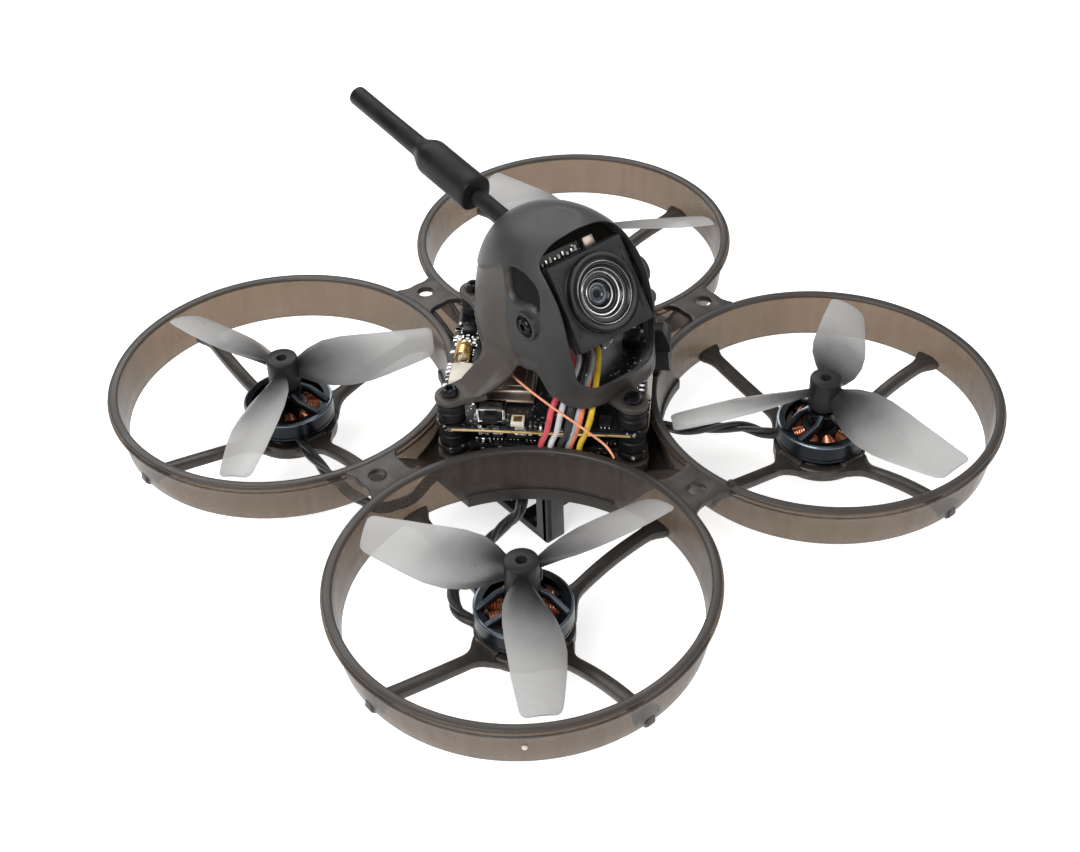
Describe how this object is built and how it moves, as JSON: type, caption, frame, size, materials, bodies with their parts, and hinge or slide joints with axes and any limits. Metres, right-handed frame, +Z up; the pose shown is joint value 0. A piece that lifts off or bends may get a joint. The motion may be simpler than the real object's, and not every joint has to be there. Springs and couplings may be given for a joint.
{
  "type": "fpv racing drone",
  "caption": "Small ducted quadcopter with moulded ring frame, pitched propellers, domed canopy over a tilting camera, stacked boards and a rear whip antenna.",
  "frame": {"origin": "centre of the motor square, on the flat underside of the battery tray", "axes": "+Z up along the rotor axes, -Y forward the way the camera looks, +X to the drone's left"},
  "size_m": [0.1152, 0.1152, 0.053],
  "materials": {
    "frame": "translucent smoke moulding",
    "canopy": "translucent dark smoke moulding",
    "prop": "translucent light grey",
    "anodised": "black anodised",
    "copper": "enamelled copper winding",
    "magnet": "nickel plated magnets",
    "steel": "bright steel",
    "screw": "black oxide",
    "board": "black solder mask",
    "can": "tinned shield",
    "gold": "gold plated",
    "rubber": "matt black",
    "matte_black": "matt black",
    "gloss_black": "black lens ring",
    "glass": "coated lens",
    "wire_red": "wire sleeve",
    "wire_white": "wire sleeve",
    "wire_black": "wire sleeve",
    "wire_orange": "wire sleeve",
    "wire_yellow": "wire sleeve"
  },
  "bodies": {
    "airframe": {"frame": "frame", "motor_base_fr": "anodised", "stator_fr": "copper", "motor_lead_fr": "wire_black", "motor_base_fl": "anodised", "stator_fl": "copper", "motor_lead_fl": "wire_black", "motor_base_br": "anodised", "stator_br": "copper", "motor_lead_br": "wire_black", "motor_base_bl": "anodised", "stator_bl": "copper", "motor_lead_bl": "wire_black", "flight_controller": "board", "video_transmitter": "board", "shield_can": "can", "antenna_socket": "gold", "boot_switch": "steel", "battery_plug": "matte_black", "battery_lead": "wire_red", "grommet_front": "rubber", "canopy_screw_front": "screw", "grommet_left": "rubber", "canopy_screw_left": "screw", "grommet_back": "rubber", "canopy_screw_back": "screw", "grommet_right": "rubber", "canopy_screw_right": "screw", "canopy": "canopy", "camera_wire_red": "wire_red", "camera_wire_white": "wire_white", "camera_wire_black": "wire_black", "camera_wire_orange": "wire_orange", "camera_wire_yellow": "wire_yellow", "receiver_antenna": "copper", "antenna_coax": "rubber", "antenna_cover": "rubber"},
    "rotor_fr": {"motor_bell_fr": "anodised", "magnet_ring_fr": "magnet", "motor_shaft_fr": "steel", "propeller_fr": "prop"},
    "rotor_fl": {"motor_bell_fl": "anodised", "magnet_ring_fl": "magnet", "motor_shaft_fl": "steel", "propeller_fl": "prop"},
    "rotor_br": {"motor_bell_br": "anodised", "magnet_ring_br": "magnet", "motor_shaft_br": "steel", "propeller_br": "prop"},
    "rotor_bl": {"motor_bell_bl": "anodised", "magnet_ring_bl": "magnet", "motor_shaft_bl": "steel", "propeller_bl": "prop"},
    "camera": {"camera_housing": "matte_black", "camera_board": "board", "lens_barrel": "gloss_black", "lens_glass": "glass", "camera_screw_left": "screw", "camera_screw_right": "screw"},
    "boot_button": {"boot_button": "rubber"}
  },
  "joints": [
    {"name": "rotor_fr_spin", "type": "hinge", "parent": "airframe", "child": "rotor_fr", "pos_m": [-0.03005, -0.03005, 0.0205], "axis": [0, 0, 1], "continuous": true},
    {"name": "rotor_fl_spin", "type": "hinge", "parent": "airframe", "child": "rotor_fl", "pos_m": [0.03005, -0.03005, 0.0205], "axis": [0, 0, 1], "continuous": true},
    {"name": "rotor_br_spin", "type": "hinge", "parent": "airframe", "child": "rotor_br", "pos_m": [-0.03005, 0.03005, 0.0205], "axis": [0, 0, 1], "continuous": true},
    {"name": "rotor_bl_spin", "type": "hinge", "parent": "airframe", "child": "rotor_bl", "pos_m": [0.03005, 0.03005, 0.0205], "axis": [0, 0, 1], "continuous": true},
    {"name": "camera_tilt", "type": "hinge", "parent": "airframe", "child": "camera", "pos_m": [0, -0.0083, 0.0412], "axis": [1, 0, 0], "range_deg": [-15, 15]},
    {"name": "boot_button_press", "type": "slide", "parent": "airframe", "child": "boot_button", "axis": [0.7071, 0.7071, 0], "range_m": [0, 0.00025]}
  ]
}
